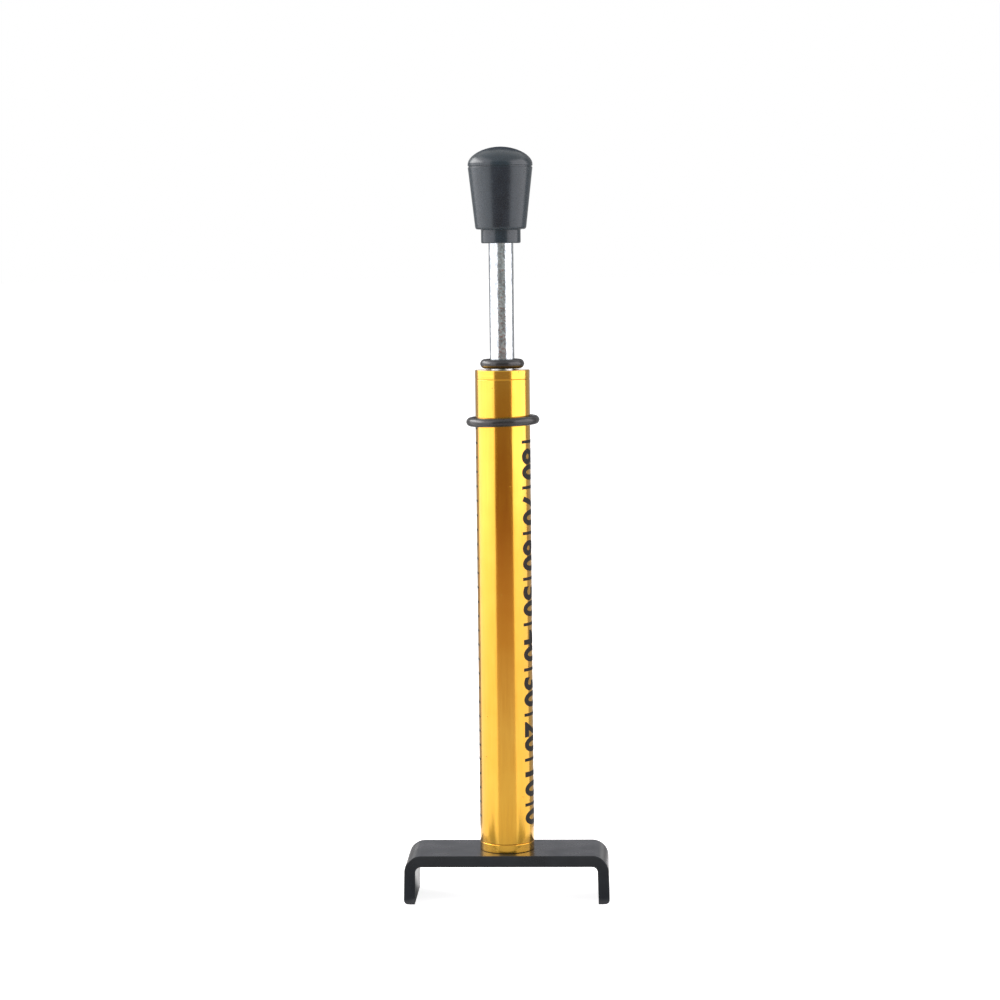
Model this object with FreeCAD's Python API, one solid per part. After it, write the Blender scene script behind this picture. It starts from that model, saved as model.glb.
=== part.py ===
"""Belt tension tester: a sprung plunger in an anodised barrel that stands on a bent belt cradle.

Millimetres, +Z up. The origin is on the barrel's axis, level with the ends of the cradle's legs.
The belt's width runs along X, between the legs, and the belt itself runs along Y.
"""

import FreeCAD
import Part
import math
import os

# Belt cradle, a strip bent into a U that opens downwards
belt_gap_width = 40.0
cradle_depth = 16.5
plate_thickness = 2.45
leg_height = 10.75
bend_radius = 1.2
leg_splay = 1.4
foot_radius = 0.9
strip_edge_chamfer = 0.45

# Countersunk screw that holds the cradle to the barrel
screw_diameter = 4.0
screw_head_diameter = 7.8
screw_head_rim = 0.25
screw_length = 8.0
screw_end_chamfer = 0.4
screw_recess = 0.1
screw_socket_flats = 2.5
screw_socket_depth = 1.5
screw_hole_clearance = 0.2

# Barrel and its two turned end pieces
barrel_diameter = 12.0
barrel_wall = 1.0
barrel_length = 102.15
top_flange_height = 2.0
bottom_flange_height = 1.9
seam_chamfer = 0.12
rim_chamfer = 0.2
guide_spigot_length = 10.0
plug_spigot_length = 8.0
plug_pocket_depth = 1.5
plug_web = 1.3
drill_point_angle = 120.0
seat_clearance = 0.01

# Plunger rod and the bush that guides it
rod_diameter = 5.4
stroke = 24.8
stroke_end_gap = 0.5
running_clearance = 0.04
bush_wall = 0.85
bush_flange_height = 0.8
bush_flange_clearance = 0.2
bush_lead = 0.3
bush_recess = 0.3
bumper_height = 1.2
bumper_margin = 0.6
rest_gap = 0.1

# Clips that hold the rod and its follower
clip_thickness = 0.8
clip_groove_depth = 0.45
clip_bore_gap = 0.5
clip_relief = 0.5
clip_prong_width = 1.5
clip_prong_angle = 115.0
clip_fit = 0.02

# Follower that carries the spring's upper end
follower_clearance = 0.1
follower_disc_height = 3.5
follower_boss_height = 3.0
boss_lead = 0.3
neck_diameter = 3.6
neck_tail = 0.8
neck_lead = 0.25

# Force spring, closed at both ends
wire_diameter = 1.2
spring_clearance = 0.4
spring_boss_gap = 0.25
spring_length = 40.5
active_turns = 8.0
closed_turns = 1.0
closed_turn_gap = 0.024
washer_thickness = 0.6
spring_seat_gap = 0.02
lengths_per_turn = 12
wire_sides = 6

# Tapered knob and its threaded insert
knob_diameter = 14.1
knob_lower_diameter = 11.0
knob_taper_height = 13.9
knob_dome_height = 3.9
knob_dome_steps = 5
collar_diameter = 8.6
collar_height = 3.0
knob_edge_chamfer = 0.25
insert_wall = 0.95
insert_length = 10.0
insert_groove_depth = 0.3
insert_groove_height = 2.4
insert_end_wall = 1.0
rod_thread_diameter = 5.0
rod_thread_length = 8.0
rod_thread_chamfer = 0.5

# Rubber rings that mark the readings
force_ring_section = 2.1
deflection_ring_section = 2.0
ring_grip_gap = 0.04
ring_sides = 8
force_ring_lift = 0.25
deflection_ring_drop = 11.15
deflection_ring_tilt = 1.6

# Radii that follow from the sizes above
barrel_radius = barrel_diameter / 2
bore_radius = barrel_radius - barrel_wall
rod_radius = rod_diameter / 2
neck_radius = neck_diameter / 2
screw_radius = screw_diameter / 2
spigot_radius = bore_radius - seat_clearance
bush_bore_radius = rod_radius + running_clearance
bush_radius = bush_bore_radius + bush_wall
spring_outer_radius = bore_radius - spring_clearance
spring_inner_radius = spring_outer_radius - wire_diameter
coil_radius = spring_outer_radius - wire_diameter / 2
boss_radius = spring_inner_radius - spring_boss_gap
thread_radius = rod_thread_diameter / 2
insert_radius = thread_radius + insert_wall

# Levels, from the feet upwards
plate_top = leg_height
plate_underside = plate_top - plate_thickness
barrel_bottom = plate_top + bottom_flange_height
barrel_top = barrel_bottom + barrel_length
cap_top = barrel_top + top_flange_height
plug_top = barrel_bottom + plug_spigot_length
plug_pocket_floor = plug_top - plug_pocket_depth
guide_bottom = barrel_top - guide_spigot_length
bush_bottom = guide_bottom - bush_flange_height
bumper_bottom = bush_bottom - bumper_height
stop_clip_bottom = bumper_bottom - rest_gap - clip_thickness
spring_bottom = plug_pocket_floor + washer_thickness + spring_seat_gap
spring_top = spring_bottom + spring_length
follower_disc_bottom = spring_top + spring_seat_gap
follower_top = follower_disc_bottom + follower_disc_height
boss_bottom = follower_disc_bottom - follower_boss_height
follower_clip_bottom = boss_bottom - clip_fit - clip_thickness
rod_bottom = follower_clip_bottom - neck_tail
knob_bottom = cap_top + stroke + force_ring_section + stroke_end_gap
collar_top = knob_bottom + collar_height
shoulder = collar_top + knob_taper_height
knob_top = shoulder + knob_dome_height


def vec(x, z, y=0.0):
    return FreeCAD.Vector(x, y, z)


def outline(start, *steps):
    """A closed face in the XZ plane. A step is an end point, or an arc's (middle, end) points."""
    edges = []
    here = start
    for step in steps + (start,):
        if isinstance(step[0], tuple):
            middle, end = step
            edges.append(Part.Arc(vec(*here), vec(*middle), vec(*end)).toShape())
        else:
            end = step
            if math.dist(here, end) > 1e-9:
                edges.append(Part.makeLine(vec(*here), vec(*end)))
        here = end
    return Part.Face(Part.Wire(edges))


def turned(start, *steps):
    """A solid of revolution about Z from an outline of (radius, height) points."""
    return outline(start, *steps).revolve(vec(0, 0), vec(0, 1), 360)


def disc(radius, bottom, height):
    return Part.makeCylinder(radius, height, vec(0, bottom))


def block(x0, x1, y0, y1, z0, z1):
    return Part.makeBox(x1 - x0, y1 - y0, z1 - z0, FreeCAD.Vector(x0, y0, z0))


def on_circle(cx, cz, radius, degrees):
    angle = math.radians(degrees)
    return (cx + radius * math.cos(angle), cz + radius * math.sin(angle))


def leg_line_at(point, height):
    """Where the splayed leg's face through this point reaches a height."""
    return (point[0] + (point[1] - height) * math.tan(math.radians(leg_splay)), height)


def mirrored(point):
    return (-point[0], point[1])


def cradle():
    """The bent strip: a plate, two rounded bends and two slightly splayed legs."""
    splay = math.radians(leg_splay)
    outer_bend = bend_radius + plate_thickness
    cx = belt_gap_width / 2 - bend_radius * math.cos(splay)
    cz = plate_underside - bend_radius
    middle = (90 + leg_splay) / 2
    inner_end = on_circle(cx, cz, bend_radius, leg_splay)
    outer_end = on_circle(cx, cz, outer_bend, leg_splay)
    inner_foot = leg_line_at(inner_end, 0)
    outer_foot = leg_line_at(outer_end, 0)
    inner_mid = on_circle(cx, cz, bend_radius, middle)
    outer_mid = on_circle(cx, cz, outer_bend, middle)
    face = outline(
        inner_foot,
        inner_end,
        (inner_mid, (cx, plate_underside)),
        (-cx, plate_underside),
        (mirrored(inner_mid), mirrored(inner_end)),
        mirrored(inner_foot),
        mirrored(outer_foot),
        mirrored(outer_end),
        (mirrored(outer_mid), (-cx, plate_top)),
        (cx, plate_top),
        (outer_mid, outer_end),
        outer_foot,
    )
    face.translate(FreeCAD.Vector(0, -cradle_depth / 2, 0))
    strip = face.extrude(FreeCAD.Vector(0, cradle_depth, 0))

    feet = [e for e in strip.Edges if is_outer_foot(e, outer_foot[0])]
    strip = strip.makeFillet(foot_radius, feet)
    sides = [e for e in strip.Edges if is_strip_edge(e)]
    strip = strip.makeChamfer(strip_edge_chamfer, sides)
    return strip.cut(screw_hole())


def is_outer_foot(edge, x):
    centre = edge.CenterOfMass
    return abs(centre.z) < 1e-6 and abs(abs(centre.x) - x) < 1e-6


def is_strip_edge(edge):
    """True for the edges round the front and back outlines, except along the feet."""
    box = edge.BoundBox
    on_side = abs(abs(edge.CenterOfMass.y) - cradle_depth / 2) < 1e-6
    return on_side and box.YLength < 1e-6 and box.ZMax > 1e-6


def screw_hole():
    """A clearance hole with a right-angled countersink in the plate's underside."""
    hole = screw_radius + screw_hole_clearance
    mouth = screw_head_diameter / 2 + screw_hole_clearance
    rim = plate_underside + screw_recess + screw_head_rim
    past = plate_thickness
    return turned(
        (0, plate_underside - past),
        (mouth, plate_underside - past),
        (mouth, rim),
        (hole, rim + mouth - hole),
        (hole, plate_top + past),
        (0, plate_top + past),
    )


def cradle_screw():
    head = screw_head_diameter / 2
    face = plate_underside + screw_recess
    rim = face + screw_head_rim
    end = face + screw_length
    lead = screw_end_chamfer
    body = turned(
        (0, face),
        (head, face),
        (head, rim),
        (screw_radius, rim + head - screw_radius),
        (screw_radius, end - lead),
        (screw_radius - lead, end),
        (0, end),
    )
    return body.cut(hex_socket(face, screw_socket_flats, screw_socket_depth))


def hex_socket(face, flats, depth):
    corner = flats / math.sqrt(3)
    points = [FreeCAD.Vector(*on_circle(0, 0, corner, 60 * k), face) for k in range(7)]
    hexagon = Part.Face(Part.makePolygon(points))
    return hexagon.extrude(FreeCAD.Vector(0, 0, depth))


def bottom_plug():
    """The lower end piece: a flange, a spigot with a spring pocket, and a tapped hole."""
    tapped = screw_radius + seat_clearance
    pocket = spring_outer_radius + spring_clearance / 2
    hole_top = plug_pocket_floor - plug_web
    point = tapped / math.tan(math.radians(drill_point_angle / 2))
    return turned(
        (tapped, plate_top),
        (barrel_radius - rim_chamfer, plate_top),
        (barrel_radius, plate_top + rim_chamfer),
        (barrel_radius, barrel_bottom - seam_chamfer),
        (barrel_radius - seam_chamfer, barrel_bottom),
        (spigot_radius, barrel_bottom),
        (spigot_radius, plug_top),
        (pocket, plug_top),
        (pocket, plug_pocket_floor),
        (0, plug_pocket_floor),
        (0, hole_top),
        (tapped, hole_top - point),
    )


def barrel_tube():
    return turned(
        (bore_radius, barrel_bottom),
        (barrel_radius - seam_chamfer, barrel_bottom),
        (barrel_radius, barrel_bottom + seam_chamfer),
        (barrel_radius, barrel_top - seam_chamfer),
        (barrel_radius - seam_chamfer, barrel_top),
        (bore_radius, barrel_top),
    )


def top_guide():
    """The upper end piece: a flange and a spigot bored for the guide bush."""
    bore = bush_radius + seat_clearance
    return turned(
        (bore, guide_bottom),
        (spigot_radius, guide_bottom),
        (spigot_radius, barrel_top),
        (barrel_radius - seam_chamfer, barrel_top),
        (barrel_radius, barrel_top + seam_chamfer),
        (barrel_radius, cap_top - rim_chamfer),
        (barrel_radius - rim_chamfer, cap_top),
        (bore, cap_top),
    )


def guide_bush():
    """A flanged sleeve, pressed into the top guide from below."""
    flange = bore_radius - bush_flange_clearance
    top = cap_top - bush_recess
    return turned(
        (bush_bore_radius, bush_bottom),
        (flange, bush_bottom),
        (flange, guide_bottom),
        (bush_radius, guide_bottom),
        (bush_radius, top),
        (bush_bore_radius + bush_lead, top),
        (bush_bore_radius, top - bush_lead),
    )


def bumper_washer():
    inner = bush_bore_radius + running_clearance
    outer = bore_radius - bumper_margin
    return disc(outer, bumper_bottom, bumper_height).cut(disc(inner, bumper_bottom, bumper_height))


def plunger_rod():
    """The rod: a neck for the follower, a grooved shaft and a threaded stub for the knob."""
    stop_groove = rod_radius - clip_groove_depth
    neck_groove = neck_radius - clip_groove_depth
    stub_end = knob_bottom + rod_thread_length
    return turned(
        (0, rod_bottom),
        (neck_radius - neck_lead, rod_bottom),
        (neck_radius, rod_bottom + neck_lead),
        (neck_radius, follower_clip_bottom - clip_fit),
        (neck_groove, follower_clip_bottom - clip_fit),
        (neck_groove, follower_clip_bottom + clip_thickness + clip_fit),
        (neck_radius, follower_clip_bottom + clip_thickness + clip_fit),
        (neck_radius, follower_top + clip_fit),
        (rod_radius, follower_top + clip_fit),
        (rod_radius, stop_clip_bottom - clip_fit),
        (stop_groove, stop_clip_bottom - clip_fit),
        (stop_groove, stop_clip_bottom + clip_thickness + clip_fit),
        (rod_radius, stop_clip_bottom + clip_thickness + clip_fit),
        (rod_radius, knob_bottom),
        (thread_radius, knob_bottom),
        (thread_radius, stub_end - rod_thread_chamfer),
        (thread_radius - rod_thread_chamfer, stub_end),
        (0, stub_end),
    )


def e_clip(shaft_radius, outer_radius, bottom):
    """A spring clip: an open ring with three prongs that reach into the shaft's groove."""
    groove = shaft_radius - clip_groove_depth + clip_fit
    relief = min(shaft_radius + clip_relief, (shaft_radius + outer_radius) / 2)
    ring = disc(outer_radius, bottom, clip_thickness).cut(disc(relief, bottom, clip_thickness))
    band = (relief + outer_radius) / 2
    half = clip_prong_width / 2
    for degrees in (0, clip_prong_angle, -clip_prong_angle):
        prong = block(0, band, -half, half, bottom, bottom + clip_thickness)
        prong.rotate(vec(0, 0), vec(0, 1), degrees)
        ring = ring.fuse(prong)
    ring = ring.cut(disc(groove, bottom, clip_thickness))
    mouth = block(-outer_radius * 2, 0, -groove, groove, bottom, bottom + clip_thickness)
    return ring.cut(mouth).removeSplitter()


def spring_follower():
    """A disc that runs in the barrel's bore, with a boss that centres the spring."""
    inner = neck_radius + running_clearance
    outer = bore_radius - follower_clearance
    return turned(
        (inner, boss_bottom),
        (boss_radius - boss_lead, boss_bottom),
        (boss_radius, boss_bottom + boss_lead),
        (boss_radius, follower_disc_bottom),
        (outer, follower_disc_bottom),
        (outer, follower_top),
        (inner, follower_top),
    )


def spring_washer():
    """A flat washer in the plug's pocket, under the spring's lower end."""
    outer = spring_outer_radius
    inner = spring_inner_radius - wire_diameter / 2
    ring = disc(outer, plug_pocket_floor, washer_thickness)
    return ring.cut(disc(inner, plug_pocket_floor, washer_thickness))


def coil_level(turns):
    """Height of the wire's centre after this many turns: slow in the closed ends, even between."""
    total = active_turns + 2 * closed_turns
    low = spring_bottom + wire_diameter / 2
    high = spring_top - wire_diameter / 2
    closed_pitch = wire_diameter + closed_turn_gap
    rise = (high - low - 2 * closed_turns * closed_pitch) / active_turns

    def climb(t):
        """Integral of a pitch that blends from the closed to the active pitch over one turn."""
        past = t - closed_turns + 0.5
        blend = min(max(past, 0.0), 1.0)
        extra = blend**3 - blend**4 / 2 + max(past - 1.0, 0.0)
        return closed_pitch * t + (rise - closed_pitch) * extra

    if turns <= total / 2:
        return low + climb(turns)
    return high - climb(total - turns)


def round_section(centre, out, up, radius, sides):
    """A closed wire of equal flats about a centre, in the plane of two directions."""
    corners = []
    for k in range(sides + 1):
        across, along = on_circle(0, 0, radius, 360 * (k + 0.5) / sides)
        corners.append(centre + out * across + up * along)
    return Part.makePolygon(corners)


def force_spring():
    """The wire, swept along a closed-ended coil of short straight lengths."""
    total = active_turns + 2 * closed_turns
    count = int(round(total * lengths_per_turn))
    points = []
    for k in range(count + 1):
        turns = total * k / count
        x, y = on_circle(0, 0, coil_radius, 360 * turns)
        points.append(FreeCAD.Vector(x, y, coil_level(turns)))
    start = (points[1] - points[0]).normalize()
    up = FreeCAD.Vector(1, 0, 0).cross(start).normalize()
    out = start.cross(up)
    section = round_section(points[0], out, up, wire_diameter / 2, wire_sides)
    sweep = Part.BRepOffsetAPI.MakePipeShell(Part.makePolygon(points))
    sweep.setTransitionMode(1)
    sweep.add(section)
    sweep.build()
    sweep.makeSolid()
    return sweep.shape()


def knob_grip():
    """The moulded knob: a collar, a taper and a domed top, hollow for its insert."""
    upper = knob_diameter / 2
    lower = knob_lower_diameter / 2
    collar = collar_diameter / 2
    socket = insert_radius + seat_clearance
    socket_top = knob_bottom + insert_length + seat_clearance
    edge = knob_edge_chamfer
    dome = [dome_point(k / knob_dome_steps) for k in range(1, knob_dome_steps)]
    return turned(
        (socket, knob_bottom),
        (collar, knob_bottom),
        (collar, collar_top),
        (lower - edge, collar_top),
        (lower, collar_top + edge),
        (upper, shoulder),
        *dome,
        (0, knob_top),
        (0, socket_top),
        (socket, socket_top),
    )


def dome_point(share):
    """A point on the half ellipse of the knob's top, from its shoulder at 0 to its crown at 1."""
    angle = math.pi / 2 * share
    return (knob_diameter / 2 * math.cos(angle), shoulder + knob_dome_height * math.sin(angle))


def knob_insert():
    """A brass bush moulded into the knob, with a groove that keys it and a blind thread."""
    groove = insert_radius - insert_groove_depth
    thread = thread_radius + seat_clearance
    top = knob_bottom + insert_length
    low = knob_bottom + (insert_length - insert_groove_height) / 2
    high = low + insert_groove_height
    return turned(
        (thread, knob_bottom),
        (insert_radius, knob_bottom),
        (insert_radius, low),
        (groove, low),
        (groove, high),
        (insert_radius, high),
        (insert_radius, top),
        (0, top),
        (0, top - insert_end_wall),
        (thread, top - insert_end_wall),
    )


def rubber_ring(inner_radius, section, level, tilt=0.0):
    """A ring whose round section is a run of flats, turned about an axis that may lean."""
    centre = vec(0, level)
    middle = vec(inner_radius + section / 2, level)
    sides = round_section(middle, vec(1, 0), vec(0, 1), section / 2, ring_sides)
    ring = Part.Face(sides).revolve(centre, vec(0, 1), 360)
    ring.rotate(centre, FreeCAD.Vector(0, 1, 0), tilt)
    return ring


def force_ring():
    """The small ring on the rod, which the cap pushes up the rod as the plunger goes in."""
    level = cap_top + force_ring_lift + force_ring_section / 2
    return rubber_ring(rod_radius + ring_grip_gap, force_ring_section, level)


def deflection_ring():
    """The large ring on the barrel, set by hand and lying slightly askew."""
    level = cap_top - deflection_ring_drop
    inner = barrel_radius + ring_grip_gap
    return rubber_ring(inner, deflection_ring_section, level, -deflection_ring_tilt)


def stop_clip():
    return e_clip(rod_radius, bore_radius - clip_bore_gap, stop_clip_bottom)


def follower_clip():
    return e_clip(neck_radius, boss_radius, follower_clip_bottom)


PIECES = (
    cradle,
    cradle_screw,
    bottom_plug,
    barrel_tube,
    top_guide,
    guide_bush,
    bumper_washer,
    spring_washer,
    force_spring,
    spring_follower,
    follower_clip,
    stop_clip,
    plunger_rod,
    knob_insert,
    knob_grip,
    force_ring,
    deflection_ring,
)

os.makedirs("parts", exist_ok=True)
for piece in PIECES:
    shape = piece()
    name = piece.__name__
    if not shape.isValid() or not shape.Solids:
        raise ValueError(f"{name} isn't a valid solid")
    shape.exportStep(f"parts/{name}.step")
    box = shape.BoundBox
    print(f"{name}: volume {shape.Volume:.1f}, height {box.ZMin:.2f} to {box.ZMax:.2f}")
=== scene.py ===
"""Dresses the belt tension tester: its visible pieces, their finishes and a plain pale studio."""

import math

import bmesh
import bpy
from bpy.props import FloatProperty, FloatVectorProperty, IntProperty, PointerProperty
from mathutils import Matrix, Vector


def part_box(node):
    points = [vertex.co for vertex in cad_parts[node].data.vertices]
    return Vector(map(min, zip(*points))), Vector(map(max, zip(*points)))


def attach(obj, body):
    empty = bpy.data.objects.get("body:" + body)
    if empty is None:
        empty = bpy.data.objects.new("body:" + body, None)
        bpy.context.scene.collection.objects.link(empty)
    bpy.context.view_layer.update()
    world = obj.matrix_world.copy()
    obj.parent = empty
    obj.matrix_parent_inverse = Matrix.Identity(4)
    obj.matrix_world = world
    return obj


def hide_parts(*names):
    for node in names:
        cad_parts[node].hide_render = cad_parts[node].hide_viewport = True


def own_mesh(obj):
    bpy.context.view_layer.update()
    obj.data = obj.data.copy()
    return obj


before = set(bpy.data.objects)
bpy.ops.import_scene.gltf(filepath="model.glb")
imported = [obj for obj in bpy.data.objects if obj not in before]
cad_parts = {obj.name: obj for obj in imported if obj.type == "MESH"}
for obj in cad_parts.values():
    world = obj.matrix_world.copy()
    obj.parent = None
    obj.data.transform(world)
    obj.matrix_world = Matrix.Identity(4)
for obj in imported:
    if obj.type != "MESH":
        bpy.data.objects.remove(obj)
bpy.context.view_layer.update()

bl_info = {
    "name": "Belt tension tester",
    "version": (1, 0, 0),
    "blender": (4, 5, 0),
    "location": "3D View > Sidebar > Tester",
    "description": "Builds and finishes the pieces of a belt tension tester",
    "category": "Add Mesh",
}

MM = 0.001

# How far print starts below the barrel's surface in mm, so that it has no gap under it.
INK_ROOT = 0.03

# Height in mm of the straight rim under the screw's countersunk cone.
SCREW_RIM = 0.25

# How far in metres the front card runs out from the barrel's axis before it stands up.
CARD_REACH = 2.4


def turned_extent(node):
    """Radius, lowest height and highest height in mm of a turned solid on the barrel's axis."""
    low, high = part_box(node)
    return high[1] / MM, low[2] / MM, high[2] / MM


BARREL_RADIUS, BARREL_LOW, BARREL_TOP = turned_extent("barrel_tube")
_, PLUG_LOW, PLUG_TOP = turned_extent("bottom_plug")
_, GUIDE_LOW, GUIDE_TOP = turned_extent("top_guide")
_, ROD_LOW, ROD_TOP = turned_extent("plunger_rod")
KNOB_RADIUS, KNOB_LOW, KNOB_TOP = turned_extent("knob_grip")
INSERT_RADIUS, _, INSERT_TOP = turned_extent("knob_insert")
WASHER_RADIUS, WASHER_LOW, _ = turned_extent("spring_washer")
SPRING_RADIUS, SPRING_LOW, SPRING_TOP = turned_extent("force_spring")
_, _, FOLLOWER_TOP = turned_extent("spring_follower")
_, STOP_CLIP_LOW, STOP_CLIP_TOP = turned_extent("stop_clip")
_, NECK_CLIP_LOW, NECK_CLIP_TOP = turned_extent("follower_clip")
SCREW_RADIUS, SCREW_FACE, SCREW_END = turned_extent("cradle_screw")


def hex_colour(code):
    """Linear red, green and blue of an sRGB hex colour."""
    channels = [int(code[i:i + 2], 16) / 255 for i in (1, 3, 5)]
    return tuple(c / 12.92 if c <= 0.04045 else ((c + 0.055) / 1.055) ** 2.4 for c in channels)


def colour_property(name, description, code):
    """A colour in the sidebar, from a hex colour."""
    return FloatVectorProperty(
        name=name, description=description, default=hex_colour(code), size=3, min=0, max=1,
        subtype="COLOR",
    )


def length_property(name, description, millimetres):
    """A length in the sidebar, from millimetres."""
    return FloatProperty(
        name=name, description=description, default=millimetres * MM, min=0, precision=5,
        subtype="DISTANCE", unit="LENGTH",
    )


class TesterSizes(bpy.types.PropertyGroup):
    """Sizes that the solids leave out: small radii, print, and marks of moulding."""

    facets: IntProperty(
        name="Facets", description="Faces round a turned piece", default=160, min=24, max=512)
    rod_diameter: length_property("Rod", "Diameter of the bright rod", 5.4)
    barrel_wall: length_property("Barrel wall", "Thickness of the drawn tube", 1.0)
    strip_thickness: length_property("Strip", "Thickness of the cradle's strip", 2.45)
    strip_edge: length_property("Strip edge", "Rounding along the cradle's edges", 0.6)
    bend_radius: length_property("Bend", "Inner radius of the cradle's bends", 1.2)
    tick_pitch: length_property("Tick pitch", "Spacing of the eighth-inch marks", 3.175)
    tick_width: length_property("Tick width", "Thickness of a mark", 0.42)
    figure_pitch: length_property("Figure pitch", "Spacing of the figures and bars", 10.0)
    figure_height: length_property("Figure height", "Height of the figures, round the barrel", 6.5)
    ink_height: length_property("Ink height", "How far the print stands proud", 0.015)
    rod_ring_section: length_property("Small ring", "Thickness of the small rubber ring", 2.1)
    barrel_ring_section: length_property("Large ring", "Thickness of the large rubber ring", 2.0)
    wire_diameter: length_property("Wire", "Diameter of the spring's wire", 1.2)
    stroke: length_property("Stroke", "How far the plunger goes in", 24.8)


class TesterFinishes(bpy.types.PropertyGroup):
    """Main colours of the finishes."""

    gold: colour_property("Gold anodising", "Dyed oxide on the barrel", "#E9B440")
    gold_deep: colour_property("Deep gold", "Where the dye took more strongly", "#E1A631")
    steel: colour_property("Ground steel", "The bright rod", "#DDE3E7")
    thermoset: colour_property("Black thermoset", "The moulded knob", "#15242C")
    rubber: colour_property("Black rubber", "The marker rings", "#161517")
    coating: colour_property("Black coating", "The cradle's paint", "#12161B")
    ink: colour_property("Scale ink", "The print on the barrel", "#120F0C")


def sizes():
    return bpy.context.scene.tester_sizes


def millimetres(name):
    """A size of the sidebar, in millimetres."""
    return getattr(sizes(), name) / MM


def finish_colour(name):
    """A colour of the sidebar, as a socket takes it."""
    return (*getattr(bpy.context.scene.tester_finishes, name), 1.0)


def rgba(code):
    return (*hex_colour(code), 1.0)


def texture_scale(feature):
    """Scale of a texture on Object coordinates that gives features of this many millimetres."""
    return 1.0 / (feature * MM)


# Materials


def add_node(tree, kind, inputs=None, **settings):
    """Adds a node and sets it. An input takes a value, a socket, or a node's first output."""
    node = tree.nodes.new(kind)
    for name, value in settings.items():
        setattr(node, name, value)
    for key, value in (inputs or {}).items():
        if isinstance(value, bpy.types.Node):
            value = next(socket for socket in value.outputs if socket.enabled)
        if isinstance(value, bpy.types.NodeSocket):
            tree.links.new(value, node.inputs[key])
        else:
            node.inputs[key].default_value = value
    return node


def blank_material(name):
    """An empty node material and its Object coordinates."""
    material = bpy.data.materials.new(name)
    material.use_nodes = True
    tree = material.node_tree
    tree.nodes.clear()
    return material, tree, add_node(tree, "ShaderNodeTexCoord").outputs["Object"]


def finish_material(tree, inputs):
    """Adds the shader with its inputs, and the material's output."""
    shader = add_node(tree, "ShaderNodeBsdfPrincipled", inputs)
    add_node(tree, "ShaderNodeOutputMaterial", {"Surface": shader})


def polished_gold_anodising(name, streak):
    """Aluminium, polished and gold anodised: a dyed metal mirror, hazy at its edges, under a thin
    clear oxide. The streak stretches the polishing lines: along the tube, or round a turned end."""
    material, tree, place = blank_material(name)
    lines = add_node(tree, "ShaderNodeMapping", {"Vector": place, "Scale": streak})
    polish = add_node(tree, "ShaderNodeTexNoise", {
        "Vector": lines, "Scale": texture_scale(0.35), "Detail": 4.0, "Roughness": 0.6})
    cloud = add_node(tree, "ShaderNodeTexNoise", {
        "Vector": place, "Scale": texture_scale(9.0), "Detail": 2.0})
    dye = add_node(tree, "ShaderNodeMath", {0: polish, 1: cloud}, operation="MULTIPLY")
    depth = add_node(tree, "ShaderNodeMapRange", {
        "Value": dye, "From Min": 0.12, "From Max": 0.42, "To Min": 0.0, "To Max": 1.0})
    colour = add_node(tree, "ShaderNodeMix", {
        "Factor": depth, "A": finish_colour("gold"), "B": finish_colour("gold_deep"),
    }, data_type="RGBA")

    # Specks in the oxide, a few tenths of a millimetre across and some millimetres apart.
    spots = add_node(tree, "ShaderNodeTexVoronoi", {
        "Vector": place, "Scale": texture_scale(1.9), "Randomness": 1.0})
    speck = add_node(tree, "ShaderNodeMapRange", {
        "Value": spots.outputs["Distance"], "From Min": 0.04, "From Max": 0.09,
        "To Min": 1.0, "To Max": 0.0})
    rare = add_node(tree, "ShaderNodeSeparateColor", {"Color": spots.outputs["Color"]})
    chosen = add_node(tree, "ShaderNodeMath", {
        0: rare.outputs["Red"], 1: 0.72}, operation="GREATER_THAN")
    specks = add_node(tree, "ShaderNodeMath", {0: speck, 1: chosen}, operation="MULTIPLY")
    speckled = add_node(tree, "ShaderNodeMix", {
        "Factor": specks, "A": colour, "B": rgba("#B0762C")}, data_type="RGBA")

    rough = add_node(tree, "ShaderNodeMapRange", {
        "Value": polish, "From Min": 0.3, "From Max": 0.7, "To Min": 0.14, "To Max": 0.2})
    marked = add_node(tree, "ShaderNodeMath", {0: specks, 1: 0.35, 2: rough}, operation="MULTIPLY_ADD")
    relief = add_node(tree, "ShaderNodeMath", {0: polish, 1: specks}, operation="SUBTRACT")
    normal = add_node(tree, "ShaderNodeBump", {
        "Height": relief, "Strength": 0.35, "Distance": 0.003 * MM})
    finish_material(tree, {
        "Base Color": speckled,
        "Metallic": 1.0,
        "Roughness": marked,
        "Normal": normal,
        "Coat Weight": 0.5,
        "Coat Roughness": 0.08,
    })
    return material


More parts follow.
